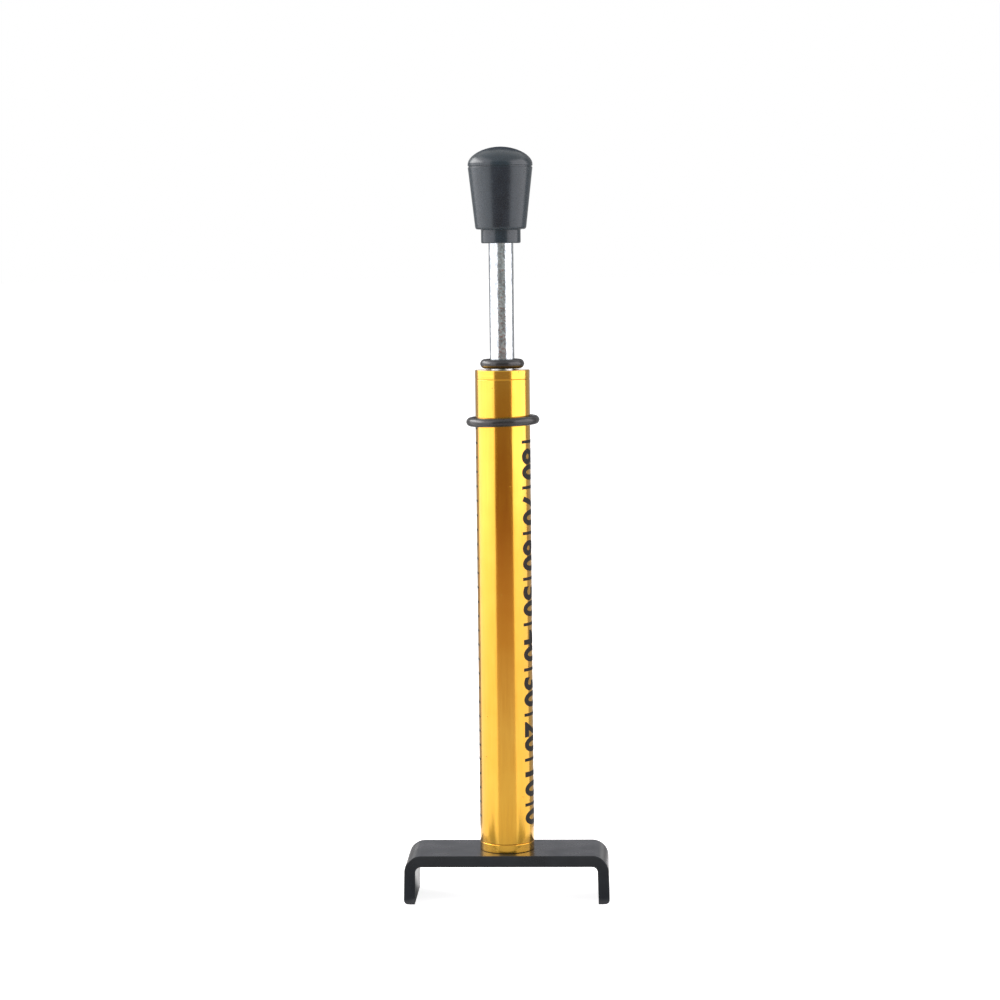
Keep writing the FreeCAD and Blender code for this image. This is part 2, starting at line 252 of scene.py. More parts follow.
def ground_bright_steel():
    """Steel bar, ground and hard chromed: bright, with a fine orange-peel grain and slanting
    grinding marks that mottle what it reflects."""
    material, tree, place = blank_material("ground_bright_steel")
    slant = add_node(tree, "ShaderNodeMapping", {
        "Vector": place, "Rotation": (0.0, math.radians(35), 0.0), "Scale": (1.0, 1.0, 0.45)})
    grain = add_node(tree, "ShaderNodeTexNoise", {
        "Vector": slant, "Scale": texture_scale(0.6), "Detail": 3.0, "Roughness": 0.65})
    pits = add_node(tree, "ShaderNodeTexVoronoi", {
        "Vector": place, "Scale": texture_scale(0.55)}, feature="SMOOTH_F1")
    tint = add_node(tree, "ShaderNodeMapRange", {
        "Value": grain, "From Min": 0.38, "From Max": 0.62, "To Min": 0.0, "To Max": 1.0})
    colour = add_node(tree, "ShaderNodeMix", {
        "Factor": tint, "A": rgba("#A6AEB3"), "B": finish_colour("steel")}, data_type="RGBA")
    rough = add_node(tree, "ShaderNodeMapRange", {
        "Value": grain, "From Min": 0.3, "From Max": 0.7, "To Min": 0.22, "To Max": 0.12})
    relief = add_node(tree, "ShaderNodeMath", {
        0: pits.outputs["Distance"], 1: 0.5, 2: grain}, operation="MULTIPLY_ADD")
    normal = add_node(tree, "ShaderNodeBump", {
        "Height": relief, "Strength": 1.0, "Distance": 0.03 * MM})
    finish_material(tree, {
        "Base Color": colour, "Metallic": 1.0, "Roughness": rough, "Normal": normal})
    return material


def moulded_black_thermoset():
    """Phenolic, compression moulded: near black with a blue cast, a soft gloss, faint flow marks
    and hairline handling scratches."""
    material, tree, place = blank_material("moulded_black_thermoset")
    flow = add_node(tree, "ShaderNodeTexNoise", {
        "Vector": place, "Scale": texture_scale(3.0), "Detail": 4.0, "Distortion": 1.2})
    speck = add_node(tree, "ShaderNodeTexNoise", {
        "Vector": place, "Scale": texture_scale(0.22), "Detail": 2.0})
    leaning = add_node(tree, "ShaderNodeMapping", {
        "Vector": place, "Rotation": (0.5, 0.9, 0.3), "Scale": (1.0, 0.035, 0.6)})
    lines = add_node(tree, "ShaderNodeTexNoise", {
        "Vector": leaning, "Scale": texture_scale(0.45), "Detail": 2.0})
    scratch = add_node(tree, "ShaderNodeMapRange", {
        "Value": lines, "From Min": 0.66, "From Max": 0.72, "To Min": 0.0, "To Max": 1.0})
    share = add_node(tree, "ShaderNodeMapRange", {
        "Value": flow, "From Min": 0.35, "From Max": 0.7, "To Min": 0.0, "To Max": 1.0})
    colour = add_node(tree, "ShaderNodeMix", {
        "Factor": share, "A": finish_colour("thermoset"), "B": rgba("#1E2C35")}, data_type="RGBA")
    dull = add_node(tree, "ShaderNodeMapRange", {
        "Value": speck, "From Min": 0.3, "From Max": 0.7, "To Min": 0.22, "To Max": 0.32})
    rough = add_node(tree, "ShaderNodeMath", {0: scratch, 1: 0.15, 2: dull}, operation="MULTIPLY_ADD")
    relief = add_node(tree, "ShaderNodeMath", {0: speck, 1: scratch}, operation="SUBTRACT")
    normal = add_node(tree, "ShaderNodeBump", {
        "Height": relief, "Strength": 0.7, "Distance": 0.012 * MM})
    finish_material(tree, {
        "Base Color": colour, "Roughness": rough, "IOR": 1.56, "Normal": normal})
    return material


def moulded_black_rubber():
    """Nitrile rubber, moulded: brownish black with a waxy sheen and a little dust."""
    material, tree, place = blank_material("moulded_black_rubber")
    skin = add_node(tree, "ShaderNodeTexNoise", {
        "Vector": place, "Scale": texture_scale(0.5), "Detail": 4.0, "Roughness": 0.65})
    dust = add_node(tree, "ShaderNodeTexNoise", {
        "Vector": place, "Scale": texture_scale(0.16), "Detail": 1.0})
    dusted = add_node(tree, "ShaderNodeMapRange", {
        "Value": dust, "From Min": 0.62, "From Max": 0.78, "To Min": 0.0, "To Max": 0.6})
    colour = add_node(tree, "ShaderNodeMix", {
        "Factor": dusted, "A": finish_colour("rubber"), "B": rgba("#4A4542")}, data_type="RGBA")
    rough = add_node(tree, "ShaderNodeMapRange", {
        "Value": skin, "From Min": 0.3, "From Max": 0.7, "To Min": 0.2, "To Max": 0.31})
    normal = add_node(tree, "ShaderNodeBump", {
        "Height": skin, "Strength": 0.6, "Distance": 0.014 * MM})
    finish_material(tree, {
        "Base Color": colour, "Roughness": rough, "IOR": 1.6, "Normal": normal})
    return material


def black_coated_sheet():
    """Steel strip with a semi-gloss black coating: an even sheen over very fine orange peel, a
    little duller in patches where it has been handled."""
    material, tree, place = blank_material("black_coated_sheet")
    peel = add_node(tree, "ShaderNodeTexNoise", {
        "Vector": place, "Scale": texture_scale(0.4), "Detail": 2.0})
    patches = add_node(tree, "ShaderNodeTexNoise", {
        "Vector": place, "Scale": texture_scale(6.0), "Detail": 3.0})
    wear = add_node(tree, "ShaderNodeMapRange", {
        "Value": patches, "From Min": 0.35, "From Max": 0.7, "To Min": 0.0, "To Max": 1.0})
    colour = add_node(tree, "ShaderNodeMix", {
        "Factor": wear, "A": finish_colour("coating"), "B": rgba("#191E23")}, data_type="RGBA")
    rough = add_node(tree, "ShaderNodeMapRange", {
        "Value": patches, "From Min": 0.3, "From Max": 0.7, "To Min": 0.25, "To Max": 0.34})
    normal = add_node(tree, "ShaderNodeBump", {
        "Height": peel, "Strength": 0.5, "Distance": 0.006 * MM})
    finish_material(tree, {
        "Base Color": colour, "Roughness": rough, "IOR": 1.5, "Normal": normal})
    return material


def screen_printed_ink():
    """Black screen ink on the barrel: dense, faintly brown, thin enough to keep some gloss."""
    material, tree, place = blank_material("screen_printed_ink")
    mottle = add_node(tree, "ShaderNodeTexNoise", {
        "Vector": place, "Scale": texture_scale(0.3), "Detail": 3.0})
    share = add_node(tree, "ShaderNodeMapRange", {
        "Value": mottle, "From Min": 0.4, "From Max": 0.75, "To Min": 0.0, "To Max": 1.0})
    colour = add_node(tree, "ShaderNodeMix", {
        "Factor": share, "A": finish_colour("ink"), "B": rgba("#1C1713")}, data_type="RGBA")
    normal = add_node(tree, "ShaderNodeBump", {
        "Height": mottle, "Strength": 0.3, "Distance": 0.004 * MM})
    finish_material(tree, {
        "Base Color": colour, "Roughness": 0.45, "IOR": 1.3, "Normal": normal})
    return material


def turned_metal(name, light, dark, metallic=1.0, roughness=0.3, ring_pitch=0.25):
    """Metal cut on a lathe: fine rings round the piece from the tool's feed, oily in patches."""
    material, tree, place = blank_material(name)
    rings = add_node(tree, "ShaderNodeMapping", {"Vector": place, "Scale": (0.04, 0.04, 1.0)})
    feed = add_node(tree, "ShaderNodeTexNoise", {
        "Vector": rings, "Scale": texture_scale(ring_pitch), "Detail": 3.0})
    film = add_node(tree, "ShaderNodeTexNoise", {
        "Vector": place, "Scale": texture_scale(2.0), "Detail": 3.0})
    colour = add_node(tree, "ShaderNodeMix", {
        "Factor": film, "A": rgba(light), "B": rgba(dark)}, data_type="RGBA")
    rough = add_node(tree, "ShaderNodeMapRange", {
        "Value": film, "From Min": 0.3, "From Max": 0.7,
        "To Min": roughness - 0.06, "To Max": roughness + 0.08})
    normal = add_node(tree, "ShaderNodeBump", {
        "Height": feed, "Strength": 0.6, "Distance": 0.01 * MM})
    finish_material(tree, {
        "Base Color": colour, "Metallic": metallic, "Roughness": rough, "Normal": normal})
    return material


# Mesh tools


def rounded_outline(corners, arc_steps):
    """Flats of a closed anticlockwise (radius, height) outline. A corner's third number rounds it.
    Returns pairs of ends, each a (point, outward normal)."""
    count = len(corners)
    starts, ends, arcs = [], [], []
    for k, corner in enumerate(corners):
        here = Vector(corner[:2])
        arriving = (here - Vector(corners[k - 1][:2])).normalized()
        leaving = (Vector(corners[(k + 1) % count][:2]) - here).normalized()
        radius = corner[2] if len(corner) > 2 else 0.0
        turn = math.atan2(arriving.cross(leaving), arriving.dot(leaving))
        trim = radius * math.tan(abs(turn) / 2)
        starts.append(here - arriving * trim)
        ends.append(here + leaving * trim)
        side = 1 if turn > 0 else -1
        normal = Vector((arriving.y, -arriving.x))
        centre = starts[k] - normal * radius * side
        arc = []
        if radius:
            for step in range(arc_steps + 1):
                spoke = Matrix.Rotation(turn * step / arc_steps, 2) @ normal
                arc.append((centre + spoke * radius * side, spoke))
        arcs.append(list(zip(arc, arc[1:])))
    flats = []
    for k in range(count):
        flats.extend(arcs[k])
        following = (k + 1) % count
        along = starts[following] - ends[k]
        if along.length > 1e-6 and max(ends[k].x, starts[following].x) > 1e-6:
            along.normalize()
            normal = Vector((along.y, -along.x))
            flats.append(((ends[k], normal), (starts[following], normal)))
    return flats


def turned_mesh(name, corners, arc_steps=5, facets=None):
    """A mesh turned about Z from a closed outline in millimetres, with its true normals."""
    facets = facets or sizes().facets
    angles = [2 * math.pi * j / facets for j in range(facets)]
    points, faces, normals, rows = [], [], [], {}

    def row(point):
        key = (round(point.x, 6), round(point.y, 6))
        if key not in rows:
            rows[key] = len(points)
            if key[0] == 0:
                points.append((0.0, 0.0, point.y))
            else:
                points.extend(
                    (point.x * math.cos(a), point.x * math.sin(a), point.y) for a in angles)
        return rows[key], key[0] == 0

    for (low, low_normal), (high, high_normal) in rounded_outline(corners, arc_steps):
        (first, first_pole), (second, second_pole) = row(low), row(high)
        for j in range(facets):
            k = (j + 1) % facets
            face, turned = [], []
            for start, pole, index, flat in (
                (first, first_pole, j, low_normal), (first, first_pole, k, low_normal),
                (second, second_pole, k, high_normal), (second, second_pole, j, high_normal),
            ):
                vertex = start if pole else start + index
                if vertex in face:
                    continue
                a = angles[index]
                face.append(vertex)
                turned.append((flat.x * math.cos(a), flat.x * math.sin(a), flat.y))
            faces.append(face)
            normals.extend(turned)
    mesh = bpy.data.meshes.new(name)
    mesh.from_pydata([Vector(p) * MM for p in points], [], faces)
    mesh.validate()
    mesh.shade_smooth()
    mesh.normals_split_custom_set(normals)
    return mesh


def evaluated_mesh(piece):
    """The plain mesh of a piece with its modifiers applied."""
    depsgraph = bpy.context.evaluated_depsgraph_get()
    return bpy.data.meshes.new_from_object(piece.evaluated_get(depsgraph))


def scratch_object(name, data):
    """An object that is in the scene only while a mesh is made."""
    piece = bpy.data.objects.new(name, data)
    bpy.context.scene.collection.objects.link(piece)
    return piece


def cut_away(mesh, tool_mesh):
    """The mesh with another mesh's shape cut out of it."""
    body = scratch_object("cut_body", mesh)
    tool = scratch_object("cut_tool", tool_mesh)
    modifier = body.modifiers.new("cut", "BOOLEAN")
    modifier.operation = "DIFFERENCE"
    modifier.solver = "EXACT"
    modifier.object = tool
    result = evaluated_mesh(body)
    bpy.data.objects.remove(body)
    bpy.data.objects.remove(tool)
    return result


def add_piece(name, mesh, material, body, stands_for=()):
    """Puts a finished mesh in the scene: one material, riding a body, in place of CAD nodes."""
    mesh.materials.clear()
    mesh.materials.append(material)
    piece = bpy.data.objects.new(name, mesh)
    bpy.context.scene.collection.objects.link(piece)
    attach(piece, body)
    if stands_for:
        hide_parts(*stands_for)
    return piece


# Pieces


class DressCradle(bpy.types.Operator):
    """Bend the coated strip under the barrel, and fit its countersunk screw"""

    bl_idname = "tester.cradle"
    bl_label = "Belt cradle"

    def execute(self, context):
        strip = add_piece(
            "cradle_strip", strip_mesh(), black_coated_sheet(), "barrel", ["cradle"])
        weight = strip.modifiers.new("flat faces stay flat", "WEIGHTED_NORMAL")
        weight.keep_sharp = True
        add_piece(
            "countersunk_screw", screw_mesh(),
            turned_metal("blackened_steel", "#2E2E30", "#1B1B1D", 0.6, 0.35),
            "barrel", ["cradle_screw"])
        return {"FINISHED"}


def strip_mesh():
    """The bent strip: its outline drawn across, given its depth, its long edges rounded."""
    low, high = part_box("cradle")
    half_width, half_depth, top = high[0] / MM, high[1] / MM, high[2] / MM
    thickness = millimetres("strip_thickness")
    bend = millimetres("bend_radius")
    splay = math.radians(1.4)
    foot = 0.9
    outer_steps, inner_steps, foot_steps = 14, 8, 6
    outer = bend + thickness
    cz = top - outer
    drop = cz + outer * math.sin(splay)
    cx = half_width - drop * math.tan(splay) - outer * math.cos(splay)

    def arc(centre, radius, start, end, steps):
        angles = [start + (end - start) * k / steps for k in range(steps + 1)]
        return [(centre[0] + radius * math.cos(a), centre[1] + radius * math.sin(a)) for a in angles]

    def down_to(point, height):
        return (point[0] + (point[1] - height) * math.tan(splay), height)

    outer_bend = arc((cx, cz), outer, splay, math.pi / 2, outer_steps)
    inner_bend = arc((cx, cz), bend, math.pi / 2, splay, inner_steps)
    corner = down_to(outer_bend[0], 0)
    half_turn = math.pi / 4 + splay / 2
    trim = foot * math.tan(half_turn)
    foot_centre = (corner[0] - trim, foot)
    outer_foot = arc(foot_centre, foot, -math.pi / 2, splay, foot_steps)
    right = [down_to(inner_bend[-1], 0)] + outer_foot + outer_bend
    points = right + [(-x, z) for x, z in reversed(right)]
    points += [(-x, z) for x, z in reversed(inner_bend)] + inner_bend
    mesh = bpy.data.meshes.new("cradle_strip")
    form = bmesh.new()
    inside = form.verts.layers.int.new("inside")
    front = [form.verts.new((x * MM, -half_depth * MM, z * MM)) for x, z in points]
    back = [form.verts.new((x * MM, half_depth * MM, z * MM)) for x, z in points]
    form.faces.new(front)
    form.faces.new(list(reversed(back)))
    for k in range(len(points)):
        n = (k + 1) % len(points)
        form.faces.new((front[n], front[k], back[k], back[n]))
    bmesh.ops.recalc_face_normals(form, faces=form.faces)
    # Cutting rounds the strip's outer edges well, and hardly breaks its inner ones.
    for side in (front, back):
        for k, vertex in enumerate(side):
            vertex[inside] = not 0 < k < 2 * len(right) - 1
    broken_edge = 0.12
    for inner, offset in ((0, millimetres("strip_edge")), (1, broken_edge)):
        edges = [
            e for e in form.edges if all(v[inside] == inner for v in e.verts)
            and abs(e.verts[0].co.y - e.verts[1].co.y) < 1e-9]
        bmesh.ops.bevel(
            form, geom=edges, offset=offset * MM, segments=4, profile=0.5, affect="EDGES",
            clamp_overlap=True)
    form.to_mesh(mesh)
    form.free()
    hole, mouth = 2.2, SCREW_RADIUS + 0.2
    sink = SCREW_FACE + SCREW_RIM
    beyond = 2
    tool = turned_mesh("screw_hole", [
        (0, SCREW_FACE - beyond), (mouth, SCREW_FACE - beyond), (mouth, sink),
        (hole, sink + mouth - hole), (hole, top + beyond), (0, top + beyond)], facets=64)
    mesh = cut_away(mesh, tool)
    mesh.shade_smooth()
    mesh.set_sharp_from_angle(angle=math.radians(40))
    return mesh


def screw_mesh():
    """A countersunk socket screw, head down."""
    shank, point, edge = 2.0, 0.4, 0.08
    rim = SCREW_FACE + SCREW_RIM
    body = turned_mesh("countersunk_screw", [
        (0, SCREW_FACE), (SCREW_RADIUS, SCREW_FACE, edge), (SCREW_RADIUS, rim, edge),
        (shank, rim + SCREW_RADIUS - shank), (shank, SCREW_END - point),
        (shank - point, SCREW_END), (0, SCREW_END)], facets=96)
    key_width, key_depth, beyond = 2.5, 1.5, 1
    corner = key_width / math.sqrt(3)
    tool = turned_mesh("hex_socket", [
        (0, SCREW_FACE - beyond), (corner, SCREW_FACE - beyond), (corner, SCREW_FACE + key_depth),
        (0, SCREW_FACE + key_depth)], facets=6)
    mesh = cut_away(body, tool)
    mesh.shade_smooth()
    mesh.set_sharp_from_angle(angle=math.radians(35))
    return mesh


class DressBarrel(bpy.types.Operator):
    """Turn the gold anodised tube and the end piece at each of its ends"""

    bl_idname = "tester.barrel"
    bl_label = "Barrel"

    def execute(self, context):
        radius = BARREL_RADIUS
        bore = radius - millimetres("barrel_wall")
        seam, foot_edge, top_edge, spigot_edge, hole_edge = 0.15, 0.16, 0.18, 0.2, 0.1
        tube = polished_gold_anodising("gold_anodised_drawn_tube", (1.0, 1.0, 0.03))
        ends = polished_gold_anodising("gold_anodised_turned_ends", (0.05, 0.05, 1.0))
        add_piece("tube_shell", turned_mesh("tube_shell", [
            (bore, BARREL_LOW), (radius, BARREL_LOW, seam), (radius, BARREL_TOP, seam),
            (bore, BARREL_TOP)]), tube, "barrel", ["barrel_tube"])
        spigot = bore - 0.01
        tapped = 2.01
        pocket = WASHER_RADIUS + 0.2
        web = WASHER_LOW - 1.3
        drill_cone = 1.16
        add_piece("plug_end", turned_mesh("plug_end", [
            (tapped, PLUG_LOW), (radius, PLUG_LOW, foot_edge), (radius, BARREL_LOW, seam),
            (spigot, BARREL_LOW), (spigot, PLUG_TOP, spigot_edge), (pocket, PLUG_TOP, hole_edge),
            (pocket, WASHER_LOW), (0, WASHER_LOW), (0, web),
            (tapped, web - drill_cone)]), ends, "barrel", ["bottom_plug"])
        bush_seat = 3.6
        add_piece("guide_end", turned_mesh("guide_end", [
            (bush_seat, GUIDE_LOW), (spigot, GUIDE_LOW, spigot_edge), (spigot, BARREL_TOP),
            (radius, BARREL_TOP, seam), (radius, GUIDE_TOP, top_edge),
            (bush_seat, GUIDE_TOP, hole_edge)]),
            ends, "barrel", ["top_guide"])
        return {"FINISHED"}


class DressRod(bpy.types.Operator):
    """Grind the bright rod, with its neck, clip grooves and threaded stub"""

    bl_idname = "tester.rod"
    bl_label = "Plunger rod"

    def execute(self, context):
        radius = millimetres("rod_diameter") / 2
        neck, depth, fit = 1.8, 0.45, 0.02
        stub = 2.5
        neck_edge, shoulder_edge, stub_edge = 0.2, 0.15, 0.4
        add_piece("rod_shaft", turned_mesh("rod_shaft", [
            (0, ROD_LOW), (neck, ROD_LOW, neck_edge),
            (neck, NECK_CLIP_LOW - fit), (neck - depth, NECK_CLIP_LOW - fit),
            (neck - depth, NECK_CLIP_TOP + fit), (neck, NECK_CLIP_TOP + fit),
            (neck, FOLLOWER_TOP + fit), (radius, FOLLOWER_TOP + fit, shoulder_edge),
            (radius, STOP_CLIP_LOW - fit), (radius - depth, STOP_CLIP_LOW - fit),
            (radius - depth, STOP_CLIP_TOP + fit), (radius, STOP_CLIP_TOP + fit),
            (radius, KNOB_LOW), (stub, KNOB_LOW), (stub, ROD_TOP, stub_edge),
            (0, ROD_TOP)]),
            ground_bright_steel(), "plunger", ["plunger_rod"])
        return {"FINISHED"}


class DressKnob(bpy.types.Operator):
    """Mould the black knob: collar, taper, parting line and dome"""

    bl_idname = "tester.knob"
    bl_label = "Knob"

    def execute(self, context):
        dome_height, collar_height = 3.9, 3.0
        shoulder = KNOB_TOP - dome_height
        collar_top = KNOB_LOW + collar_height
        lower, collar = 5.5, 4.3
        hole_edge, collar_edge, inner_corner, taper_edge = 0.1, 0.3, 0.25, 0.55
        fit = 0.01
        socket = INSERT_RADIUS + fit
        # The parting line lies a little below the shoulder, where the dome's mould half ends.
        line_depth = 0.2
        line_low, line_high = shoulder - 0.55, shoulder - 0.25
        under_line, over_line = KNOB_RADIUS - 0.04, KNOB_RADIUS - 0.01
        # A power of 1 would make the dome half an ellipse. A higher one draws its shoulder in.
        slimness = 1.06
        dome, dome_edge = [], 0.3
        steps, first = 22, 0.02
        for k in range(1, steps):
            angle = math.pi / 2 * (first + (1 - first) * k / steps)
            dome.append((
                KNOB_RADIUS * math.cos(angle) ** slimness,
                shoulder + dome_height * math.sin(angle) ** slimness, dome_edge))
        draft, floor_edge, lip = 0.02, 0.04, 0.08
        corners = [
            (socket, KNOB_LOW, hole_edge), (collar, KNOB_LOW, collar_edge),
            (collar, collar_top, inner_corner), (lower, collar_top, taper_edge),
            (under_line, line_low, lip),
            (KNOB_RADIUS - line_depth, line_low + draft, floor_edge),
            (KNOB_RADIUS - line_depth, line_high, floor_edge),
            (over_line, line_high + draft, lip),
            *dome, (0, KNOB_TOP), (0, INSERT_TOP + fit), (socket, INSERT_TOP + fit)]
        add_piece(
            "knob_body", turned_mesh("knob_body", corners, arc_steps=3), moulded_black_thermoset(),
            "plunger", ["knob_grip"])
        return {"FINISHED"}


class DressRings(bpy.types.Operator):
    """Mould the two rubber marker rings, each with a faint flash line"""

    bl_idname = "tester.rings"
    bl_label = "Marker rings"

    def execute(self, context):
        rubber = moulded_black_rubber()
        grip = 0.04
        for name, node, section, inner, tilt, body in (
            ("rod_ring", "force_ring", millimetres("rod_ring_section"),
             millimetres("rod_diameter") / 2 + grip, 0.0, "force_marker"),
            ("barrel_ring", "deflection_ring", millimetres("barrel_ring_section"),
             BARREL_RADIUS + grip, -1.6, "deflection_marker"),
        ):
            low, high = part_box(node)
            level = (low[2] + high[2]) / 2
            mesh = ring_mesh(name, inner + section / 2, section / 2)
            lean = Matrix.Rotation(math.radians(tilt), 4, "Y")
            mesh.transform(Matrix.Translation((0, 0, level)) @ lean)
            add_piece(name, mesh, rubber, body, [node])
        return {"FINISHED"}


def ring_mesh(name, ring_radius, section_radius):
    """A round rubber ring about the origin, with a low flash ridge on its outer and inner line."""
    round_ring = sizes().facets
    round_section = 40
    flash, flash_width = 0.03, 0.12
    points, faces = [], []
    for j in range(round_ring):
        a = 2 * math.pi * j / round_ring
        for k in range(round_section):
            b = 2 * math.pi * k / round_section
            ridge = flash * math.exp(-((math.sin(b) * section_radius / flash_width) ** 2))
            reach = section_radius - flash + ridge
            out = ring_radius + reach * math.cos(b)
            points.append(Vector((out * math.cos(a), out * math.sin(a), reach * math.sin(b))) * MM)
            across = (k + 1) % round_section
            on = (j + 1) % round_ring
            faces.append((
                j * round_section + k, on * round_section + k,
                on * round_section + across, j * round_section + across))
    mesh = bpy.data.meshes.new(name)
    mesh.from_pydata(points, [], faces)
    mesh.shade_smooth()
    return mesh


def grown_mesh(name, inputs, build):
    """The plain mesh that a Geometry Nodes tree makes. inputs maps each of the tree's inputs to a
    (socket type, value), and build links nodes from those sockets and returns the last node."""
    tree = bpy.data.node_groups.new(name, "GeometryNodeTree")
    tree.interface.new_socket("Geometry", in_out="OUTPUT", socket_type="NodeSocketGeometry")
    identifiers = {}
    for label, (kind, _) in inputs.items():
        socket = tree.interface.new_socket(label, in_out="INPUT", socket_type=kind)
        identifiers[label] = socket.identifier
    given = add_node(tree, "NodeGroupInput")
    last = build(tree, given.outputs)
    whole = add_node(tree, "GeometryNodeRealizeInstances", {"Geometry": last})
    finished = add_node(tree, "GeometryNodeSetMaterial", {
        "Geometry": whole, "Material": given.outputs["Material"]})
    add_node(tree, "NodeGroupOutput", {"Geometry": finished})
    holder = scratch_object(name, bpy.data.meshes.new(name))
    modifier = holder.modifiers.new(name, "NODES")
    modifier.node_group = tree
    for label, (_, value) in inputs.items():
        modifier[identifiers[label]] = value
    mesh = evaluated_mesh(holder)
    bpy.data.objects.remove(holder)
    return mesh


class DressSpring(bpy.types.Operator):
    """Wind the closed-ended force spring inside the barrel"""

    bl_idname = "tester.spring"
    bl_label = "Force spring"

    def execute(self, context):
        wire = millimetres("wire_diameter")
        steel = turned_metal("drawn_spring_wire", "#8E8F92", "#6C6C70", 1.0, 0.32)
        mesh = grown_mesh("spring_coil", {
            "Turns": ("NodeSocketFloat", 10.0),
            "Coil Radius": ("NodeSocketFloat", (SPRING_RADIUS - wire / 2) * MM),
            "Wire Radius": ("NodeSocketFloat", wire / 2 * MM),
            "Bottom": ("NodeSocketFloat", (SPRING_LOW + wire / 2) * MM),
            "Rise": ("NodeSocketFloat", (SPRING_TOP - SPRING_LOW - wire) * MM),
            "Material": ("NodeSocketMaterial", steel),
        }, wind_coil)
        mesh.shade_smooth()
        spring = add_piece("spring_coil", mesh, steel, "barrel", ["force_spring"])
        length = SPRING_TOP - SPRING_LOW
        (length - millimetres("stroke")) / length
        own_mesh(spring)
        return {"FINISHED"}


def wind_coil(tree, given):
    """Nodes for a coil whose first and last turns lie closed."""
    closed_share, closed_rise = 0.1, 0.032
    steps = 480
    line = add_node(tree, "GeometryNodeMeshLine", {"Count": steps + 1})
    index = add_node(tree, "GeometryNodeInputIndex")
    share = add_node(tree, "ShaderNodeMath", {0: index, 1: float(steps)}, operation="DIVIDE")
    turns = add_node(tree, "ShaderNodeMath", {0: share, 1: given["Turns"]}, operation="MULTIPLY")
    angle = add_node(tree, "ShaderNodeMath", {0: turns, 1: 2 * math.pi}, operation="MULTIPLY")
    spoke = add_node(tree, "ShaderNodeVectorRotate", {
        "Vector": (1.0, 0.0, 0.0), "Angle": angle}, rotation_type="Z_AXIS")
    circle = add_node(tree, "ShaderNodeVectorMath", {
        0: spoke, "Scale": given["Coil Radius"]}, operation="SCALE")
    pitch = add_node(tree, "ShaderNodeFloatCurve", {"Value": share})
    profile = pitch.mapping.curves[0].points
    profile.new(closed_share, closed_rise)
    profile.new(1 - closed_share, 1 - closed_rise)
    pitch.mapping.update()
    risen = add_node(tree, "ShaderNodeMath", {
        0: pitch, 1: given["Rise"], 2: given["Bottom"]}, operation="MULTIPLY_ADD")
    height = add_node(tree, "ShaderNodeCombineXYZ", {"Z": risen})
    place = add_node(tree, "ShaderNodeVectorMath", {0: circle, 1: height}, operation="ADD")
    bent = add_node(tree, "GeometryNodeSetPosition", {"Geometry": line, "Position": place})
    path = add_node(tree, "GeometryNodeMeshToCurve", {"Mesh": bent})
    section = add_node(tree, "GeometryNodeCurvePrimitiveCircle", {
        "Resolution": 14, "Radius": given["Wire Radius"]})
    return add_node(tree, "GeometryNodeCurveToMesh", {
        "Curve": path, "Profile Curve": section, "Fill Caps": True})


class PrintScales(bpy.types.Operator):
    """Print the scales on the barrel: eighths of an inch, and bold millimetre figures"""

    bl_idname = "tester.scales"
    bl_label = "Printed scales"

    def execute(self, context):
        ink = screen_printed_ink()
        pitch = millimetres("tick_pitch")
        width = millimetres("tick_width")
        first, count = 18.4, 28
        ticks_start = math.radians(-68)
        lengths = (1.6, 2.2, 3.2)
        print_marks("inch_marks", ink, count, pitch, first, ticks_start, lengths, width)
        figures_at = ticks_start - (lengths[2] + 1.3) / BARREL_RADIUS
        inches = []
        digit, digit_height = 1.2, 1.9
        for k in range(1, count // 8 + 1):
            level = first + 8 * k * pitch
            inches.append(upright_figure(str(k), figures_at, level, digit, digit_height))
        add_piece("inch_figures", joined("inch_figures", inches), ink, "barrel")

        pitch = millimetres("figure_pitch")
        height = millimetres("figure_height")
        band_start = math.radians(44.8)
        zero = 21.2
        bars = 9
        band_end = band_start + height / BARREL_RADIUS
        bar_width = 0.7
        print_marks(
            "millimetre_bars", ink, bars, pitch, zero, band_end, (height,) * 3, bar_width)
        figures = []
        digit, digit_step, gap = 3.5, 4.0, 0.95
        for k in range(bars):
            text = str(10 * k)
            middle = zero + pitch * k - gap - digit_step / 2 * len(text)
            figures.append(reading_down_figure(text, band_start, middle, digit, height))
        add_piece("millimetre_figures", joined("millimetre_figures", figures), ink, "barrel")
        return {"FINISHED"}


def print_marks(name, ink, count, pitch, first, start, lengths, width):
    """Marks that wrap back round the barrel from an angle. Angles count from -Y towards +X."""
    mesh = grown_mesh(name, {
        "Count": ("NodeSocketInt", count),
        "Pitch": ("NodeSocketFloat", pitch * MM),
        "First Height": ("NodeSocketFloat", first * MM),
        "Start Angle": ("NodeSocketFloat", start),
        "Short Length": ("NodeSocketFloat", lengths[0] * MM),
        "Middle Length": ("NodeSocketFloat", lengths[1] * MM),
        "Long Length": ("NodeSocketFloat", lengths[2] * MM),
        "Width": ("NodeSocketFloat", width * MM),
        "Barrel Radius": ("NodeSocketFloat", BARREL_RADIUS * MM),
        "Ink Height": ("NodeSocketFloat", sizes().ink_height),
        "Material": ("NodeSocketMaterial", ink),
    }, rule_marks)
    add_piece(name, mesh, ink, "barrel")


